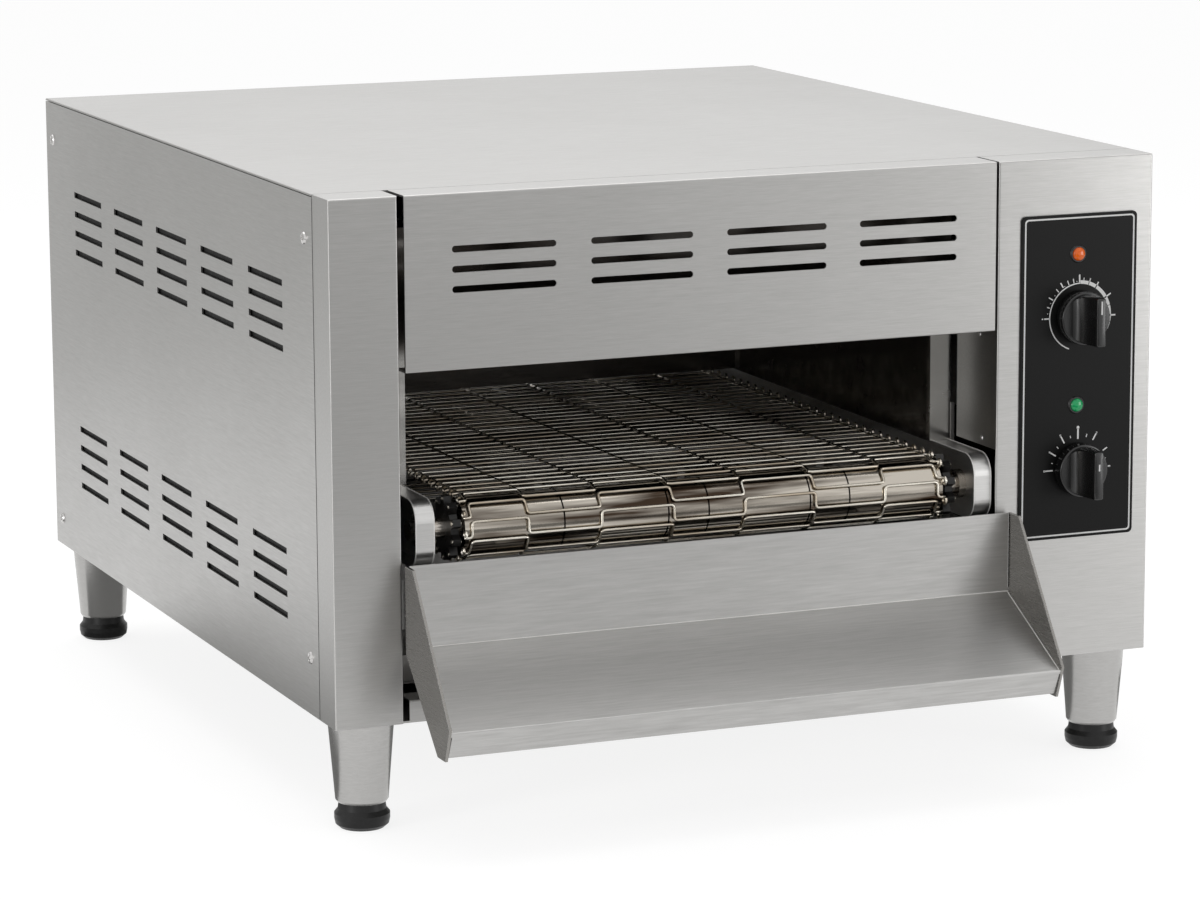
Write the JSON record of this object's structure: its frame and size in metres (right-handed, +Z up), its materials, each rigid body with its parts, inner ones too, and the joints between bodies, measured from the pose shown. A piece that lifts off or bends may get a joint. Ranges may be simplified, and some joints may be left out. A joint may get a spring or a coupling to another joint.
{
  "type": "conveyor toaster",
  "caption": "Countertop conveyor toaster: stainless casing on levelling feet, wire belt through a heated tunnel, control knobs and lamps, hooked collecting tray, crumb drawer.",
  "frame": {"origin": "on the floor under the middle of the toaster's outline", "axes": "+X to the right of a person facing the front, -Y towards that person, +Z up"},
  "size_m": [0.5428, 0.692, 0.38],
  "materials": {
    "casing_steel": "fine brushed stainless steel",
    "inner_steel": "plain mill-finish stainless steel",
    "polished_steel": "polished stainless steel, lightly browned by heat",
    "belt_wire": "bright drawn stainless wire",
    "bronze": "plain sintered bronze",
    "black_metal": "blackened steel",
    "black_panel": "satin black",
    "black_plastic": "fine matt black",
    "foot_plastic": "black, slightly worn",
    "ceramic": "unglazed off-white",
    "dark_metal": "dark grey, heat-tinted",
    "gear_steel": "machined steel",
    "orange_lens": "clear orange",
    "green_lens": "clear green"
  },
  "bodies": {
    "casing": {"base_pan": "casing_steel", "bearing_bushes": "bronze", "belt_wear_bars": "inner_steel", "cable_gland": "black_plastic", "chamber_roof": "inner_steel", "chamber_wall_left": "inner_steel", "chamber_wall_right": "inner_steel", "control_panel_plate": "black_panel", "conveyor_rail_left": "inner_steel", "conveyor_rail_right": "inner_steel", "cross_tubes": "inner_steel", "crumb_tray_runners": "inner_steel", "drive_motor": "dark_metal", "element_collars": "ceramic", "flap_hinge": "inner_steel", "frame_uprights": "inner_steel", "front_crossbar": "casing_steel", "front_hood": "casing_steel", "front_post_left": "casing_steel", "front_post_right": "casing_steel", "gearbox": "gear_steel", "heat_lamp_lens": "green_lens", "heat_regulator_housing": "black_plastic", "lamp_rings": "black_plastic", "legs": "casing_steel", "lower_heating_elements": "dark_metal", "motor_bracket": "inner_steel", "power_lamp_lens": "orange_lens", "rear_panel": "casing_steel", "side_brackets": "inner_steel", "side_panel_left": "casing_steel", "side_panel_right": "casing_steel", "side_panel_screws": "polished_steel", "speed_controller_housing": "black_plastic", "terminal_block": "black_plastic", "top_cover": "casing_steel", "tray_hanger_bar": "inner_steel", "upper_heating_elements": "dark_metal", "wire_belt": "belt_wire"},
    "heat_control": {"heat_knob": "black_plastic", "heat_spindle": "polished_steel"},
    "speed_control": {"speed_knob": "black_plastic", "speed_spindle": "polished_steel"},
    "front_roller": {"front_idler_shaft": "polished_steel", "front_roller_sleeves": "polished_steel", "front_sprockets": "black_metal"},
    "drive_roller": {"rear_drive_shaft": "polished_steel", "rear_roller_sleeves": "polished_steel", "rear_sprockets": "black_metal", "drive_gear": "gear_steel"},
    "pinion": {"motor_pinion": "gear_steel"},
    "front_left_foot": {"foot_front_left": "foot_plastic"},
    "front_right_foot": {"foot_front_right": "foot_plastic"},
    "back_left_foot": {"foot_back_left": "foot_plastic"},
    "back_right_foot": {"foot_back_right": "foot_plastic"},
    "crumb_drawer": {"crumb_tray": "inner_steel"},
    "collecting_tray": {"tray_pan": "casing_steel", "tray_end_left": "casing_steel", "tray_end_right": "casing_steel"},
    "flap": {"heat_flap": "inner_steel"}
  },
  "joints": [
    {"name": "heat_knob_turn", "type": "hinge", "parent": "casing", "child": "heat_control", "pos_m": [0.2195, -0.272, 0.281], "axis": [0, 1, 0], "range_deg": [-150, 120]},
    {"name": "speed_knob_turn", "type": "hinge", "parent": "casing", "child": "speed_control", "pos_m": [0.2195, -0.272, 0.1853], "axis": [0, 1, 0], "range_deg": [-90, 90]},
    {"name": "drive_roller_spin", "type": "hinge", "parent": "casing", "child": "drive_roller", "pos_m": [-0.0275, 0.294, 0.177], "axis": [1, 0, 0], "continuous": true},
    {"name": "front_roller_spin", "type": "hinge", "parent": "casing", "child": "front_roller", "pos_m": [-0.0275, -0.246, 0.177], "axis": [1, 0, 0], "continuous": true},
    {"name": "pinion_spin", "type": "hinge", "parent": "casing", "child": "pinion", "pos_m": [0.17, 0.2535, 0.177], "axis": [1, 0, 0], "continuous": true},
    {"name": "crumb_drawer_slide", "type": "slide", "parent": "casing", "child": "crumb_drawer", "axis": [0, 1, 0], "range_m": [0, 0.4]},
    {"name": "collecting_tray_lift", "type": "slide", "parent": "casing", "child": "collecting_tray", "axis": [0, 0, 1], "range_m": [0, 0.013]},
    {"name": "heat_flap_swing", "type": "hinge", "parent": "casing", "child": "flap", "pos_m": [-0.0275, 0.0853, 0.3457], "axis": [1, 0, 0], "range_deg": [-38, 60]},
    {"name": "front_left_foot_level", "type": "slide", "parent": "casing", "child": "front_left_foot", "axis": [0, 0, -1], "range_m": [0, 0.015]},
    {"name": "front_right_foot_level", "type": "slide", "parent": "casing", "child": "front_right_foot", "axis": [0, 0, -1], "range_m": [0, 0.015]},
    {"name": "back_left_foot_level", "type": "slide", "parent": "casing", "child": "back_left_foot", "axis": [0, 0, -1], "range_m": [0, 0.015]},
    {"name": "back_right_foot_level", "type": "slide", "parent": "casing", "child": "back_right_foot", "axis": [0, 0, -1], "range_m": [0, 0.015]}
  ],
  "couplings": [
    {"joint": "front_roller_spin", "follows": "drive_roller_spin", "ratio": 1},
    {"joint": "pinion_spin", "follows": "drive_roller_spin", "ratio": -2}
  ]
}
